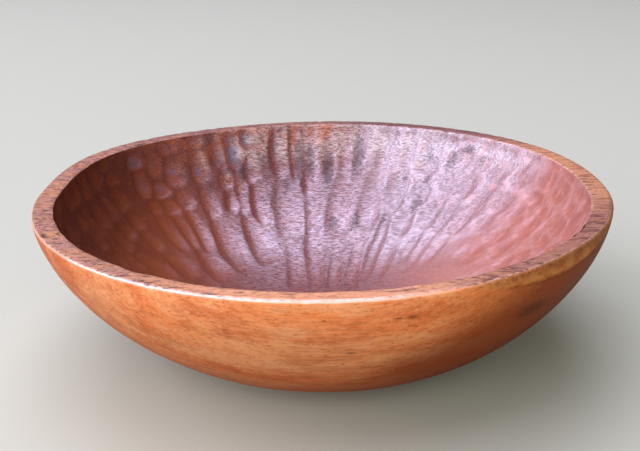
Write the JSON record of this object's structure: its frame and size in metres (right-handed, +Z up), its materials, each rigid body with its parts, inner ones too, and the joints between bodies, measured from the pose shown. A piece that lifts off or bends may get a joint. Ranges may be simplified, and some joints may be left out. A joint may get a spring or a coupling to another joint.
{
  "type": "salad bowl",
  "caption": "Hand-carved wooden salad bowl: a wide, slightly oval dish on a flat foot, with a thick level rim and a hollow covered in gouge cuts, for serving salad.",
  "frame": {"origin": "middle of the flat foot, on the surface that the bowl stands on", "axes": "+X along the grain, which is the bowl's longer way, +Y across the grain, away from the viewer in the picture, +Z up through the open hollow"},
  "size_m": [0.4, 0.388, 0.117],
  "materials": {
    "lacquered_wood": "satin"
  },
  "bodies": {
    "root": {"carved_bowl": "lacquered_wood"}
  },
  "joints": []
}
